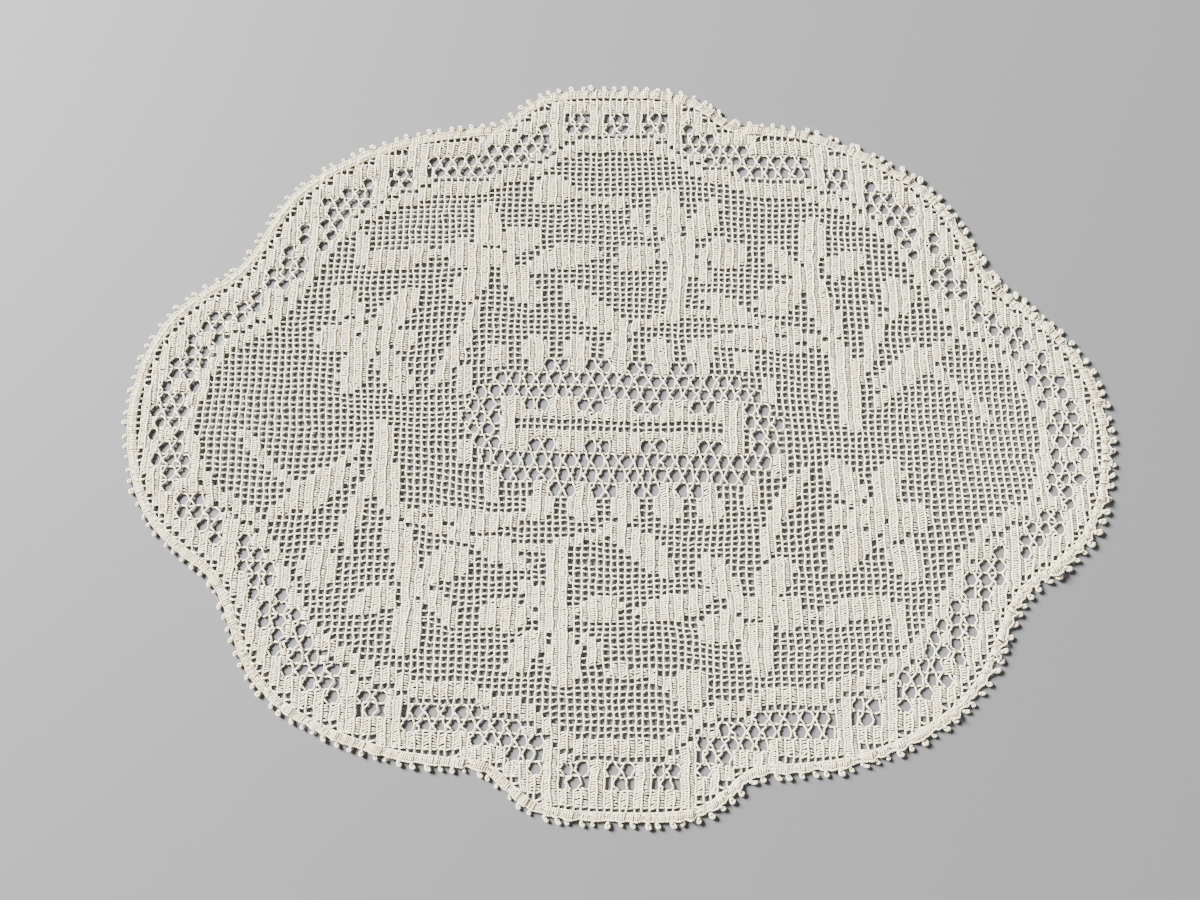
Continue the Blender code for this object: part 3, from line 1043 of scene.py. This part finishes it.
def edging_shapes():
    """The round's stitches, square to the rim and slightly leaning, and its inner and outer cords.

    Along the rim they rise and fall together, and the outer ends stand in and out as far. Each does so
    by the sum of its own and two neighbours' draws, which grow by RUFFLE_TO_RIGHT towards the right end
    and shrink as much towards the left.
    """
    rim = rim_loop(EDGING_STITCHES)
    out = outward(rim)
    along = np.stack([out[:, 1], -out[:, 0]], axis=1)
    path = np.zeros((EDGING_STITCHES, 3, 3))
    slip = hand.normal(0.0, EDGING_SLIP, (EDGING_STITCHES, 3))
    ruffle = hand.normal(0.0, RUFFLE, EDGING_STITCHES)
    ruffle *= 1.0 + RUFFLE_TO_RIGHT * rim[:, 0] / rim[:, 0].max()
    ruffle = ruffle + np.roll(ruffle, 1) + np.roll(ruffle, 2)
    for k, (inset, lean, _) in enumerate(EDGING_ENDS):
        path[:, k, :2] = rim - out * inset + along * (lean + slip[:, k, None])
    path[:, -1, :2] += out * ruffle[:, None]
    radius = np.array(EDGING_ENDS)[:, 2] * hand.normal(1.0, EDGING_UNEVEN, (EDGING_STITCHES, 3))
    path[:, :, 2] = np.maximum(EDGING_HEIGHT + ruffle[:, None], radius)
    shapes = [swept(path, radius, EDGING_SIDES)]
    rings = rim_loop(EDGING_STITCHES * 2)
    ruffled = np.repeat(ruffle, 2)
    for inset, height, thickness, in_and_out in CORDS:
        radius = thickness * (1.0 + CORD_LUMPS * np.tile([1.0, -1.0], EDGING_STITCHES))
        line = np.zeros((1, len(rings), 3))
        line[0, :, :2] = rings - outward(rings) * (inset - in_and_out * ruffled)[:, None]
        line[0, :, 2] = np.maximum(height + ruffled, radius)
        shapes.append(swept(line, radius[None], CORD_SIDES, closed=True))
    return shapes


edging = thread_piece("edging_round", edging_shapes(), edging_cotton)
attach(edging, "root")
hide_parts("picot_edging")


# The picots. At every sixth stitch a short chain is closed on itself with a slip stitch, which draws it
# into a small curled knob that leans back along the edge.
PICOT_STEPS = 12
PICOT_SIDES = 6
PICOT_RADIUS = 0.56
PICOT_LUMPS = 0.22
PICOT_LUMPS_ROUND = 3
PICOT_LOOP = 0.86
PICOT_START = 0.25
PICOT_MIDDLE = 1.15
PICOT_REACH = 1.1
PICOT_PINCH = 0.76
PICOT_RISE = 0.78
PICOT_WARP = 0.12
PICOT_LEAN = 0.45
PICOT_SIZE_SLIP = 0.13
PICOT_LEAN_SLIP = 0.8
PICOT_SLIP = 0.5
PICOT_TO_RIGHT = 0.12


def picot_shapes():
    """Closed loops of lumpy thread, each a circle drawn out from the rim, pinched and sheared along it.

    Away from the rim a loop's points lie at PICOT_START + size * PICOT_LOOP * (PICOT_MIDDLE -
    PICOT_REACH cos a), and beside its foot at size * PICOT_LOOP * PICOT_PINCH sin a less the lean. They
    grow by PICOT_TO_RIGHT towards the right end and shrink as much towards the left.
    """
    rim = rim_loop(PICOT_COUNT)
    out = outward(rim)
    along = np.stack([out[:, 1], -out[:, 0]], axis=1)
    turn = np.arange(PICOT_STEPS) / PICOT_STEPS * 2 * np.pi
    size = hand.normal(1.0, PICOT_SIZE_SLIP, (PICOT_COUNT, 1))
    size *= 1.0 + PICOT_TO_RIGHT * rim[:, :1] / rim[:, 0].max()
    lean = PICOT_LEAN * hand.normal(1.0, PICOT_LEAN_SLIP, (PICOT_COUNT, 1))
    away = size * PICOT_LOOP * (PICOT_MIDDLE - PICOT_REACH * np.cos(turn)) + PICOT_START
    slip = hand.normal(0.0, PICOT_SLIP, (PICOT_COUNT, 1))
    beside = size * PICOT_LOOP * PICOT_PINCH * np.sin(turn) - lean * away + slip
    path = np.zeros((PICOT_COUNT, PICOT_STEPS, 3))
    path[:, :, :2] = rim[:, None] + out[:, None] * away[..., None] + along[:, None] * beside[..., None]
    radius = PICOT_RADIUS * (1.0 + PICOT_LUMPS * np.cos(turn * PICOT_LUMPS_ROUND)) * size
    path[:, :, 2] = np.maximum(PICOT_RISE + PICOT_WARP * np.cos(turn * 2), radius)
    return [swept(path, radius, PICOT_SIDES, closed=True)]


picots = thread_piece("picots", picot_shapes(), edging_cotton)
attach(picots, "root")
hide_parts("picot_edging")


# The cloth as it lies. The points of each band are read out into an array, which is not used further.
for band, first, last in zip(net_bands, band_edges[:-1], band_edges[1:]):
    points = np.empty(3 * len(band.data.vertices))
    band.data.vertices.foreach_get("co", points)


# The table. A plain grey surface, pale in this light, for the mat to lie on.
FLOOR_HALF = 5.0
FLOOR_COLOUR = (0.1, 0.1, 0.102, 1.0)
floor_mesh = bpy.data.meshes.new("floor")
floor_corners = [(x * FLOOR_HALF, y * FLOOR_HALF, 0.0) for x, y in ((-1, -1), (1, -1), (1, 1), (-1, 1))]
floor_mesh.from_pydata(floor_corners, [], [(0, 1, 2, 3)])
floor = bpy.data.objects.new("floor", floor_mesh)
bpy.context.scene.collection.objects.link(floor)
floor_paint = bpy.data.materials.new("floor_paint")
floor_paint.use_nodes = True
floor_shader = floor_paint.node_tree.nodes["Principled BSDF"]
floor_shader.inputs["Base Color"].default_value = FLOOR_COLOUR
floor_shader.inputs["Roughness"].default_value = 0.8
floor_mesh.materials.append(floor_paint)


# Light and camera. A broad soft light from the upper left, a weaker one opposite, and the camera
# leaning a little over the near long side, as the photograph was taken.
world = bpy.data.worlds.new("soft_room")
world.use_nodes = True
world.node_tree.nodes["Background"].inputs["Color"].default_value = (1.0, 1.0, 1.0, 1.0)
world.node_tree.nodes["Background"].inputs["Strength"].default_value = 0.2
bpy.context.scene.world = world


def soft_light(name, place, size, power):
    """A square light at a place, facing the middle of the mat."""
    data = bpy.data.lights.new(name, "AREA")
    data.shape = "SQUARE"
    data.size = size
    data.energy = power
    light = bpy.data.objects.new(name, data)
    bpy.context.scene.collection.objects.link(light)
    light.location = place
    light.rotation_euler = (-Vector(place)).to_track_quat("-Z", "Y").to_euler()
    return light


soft_light("window", (-2.8, 1.8, 1.9), 1.3, 1680.0)
soft_light("fill", (0.8, -0.5, 0.9), 0.9, 5.0)

CAMERA_AIM = (-8.15, -11.46)
CAMERA_BACK = 90.0
CAMERA_HEIGHT = 419.0
CAMERA_TILT = 12.2
FOCAL_PIXELS = 942.0
PICTURE_WIDTH = 1200.0
camera_data = bpy.data.cameras.new("camera")
camera_data.sensor_width = 36.0
camera_data.lens = camera_data.sensor_width * FOCAL_PIXELS / PICTURE_WIDTH
camera = bpy.data.objects.new("camera", camera_data)
bpy.context.scene.collection.objects.link(camera)
camera.location = (
    (CAMERA_AIM[0] - MIDDLE[0]) * MM,
    (CAMERA_AIM[1] - CAMERA_BACK - MIDDLE[1]) * MM,
    CAMERA_HEIGHT * MM,
)
camera.rotation_euler = (np.radians(CAMERA_TILT), 0.0, 0.0)
bpy.context.scene.camera = camera
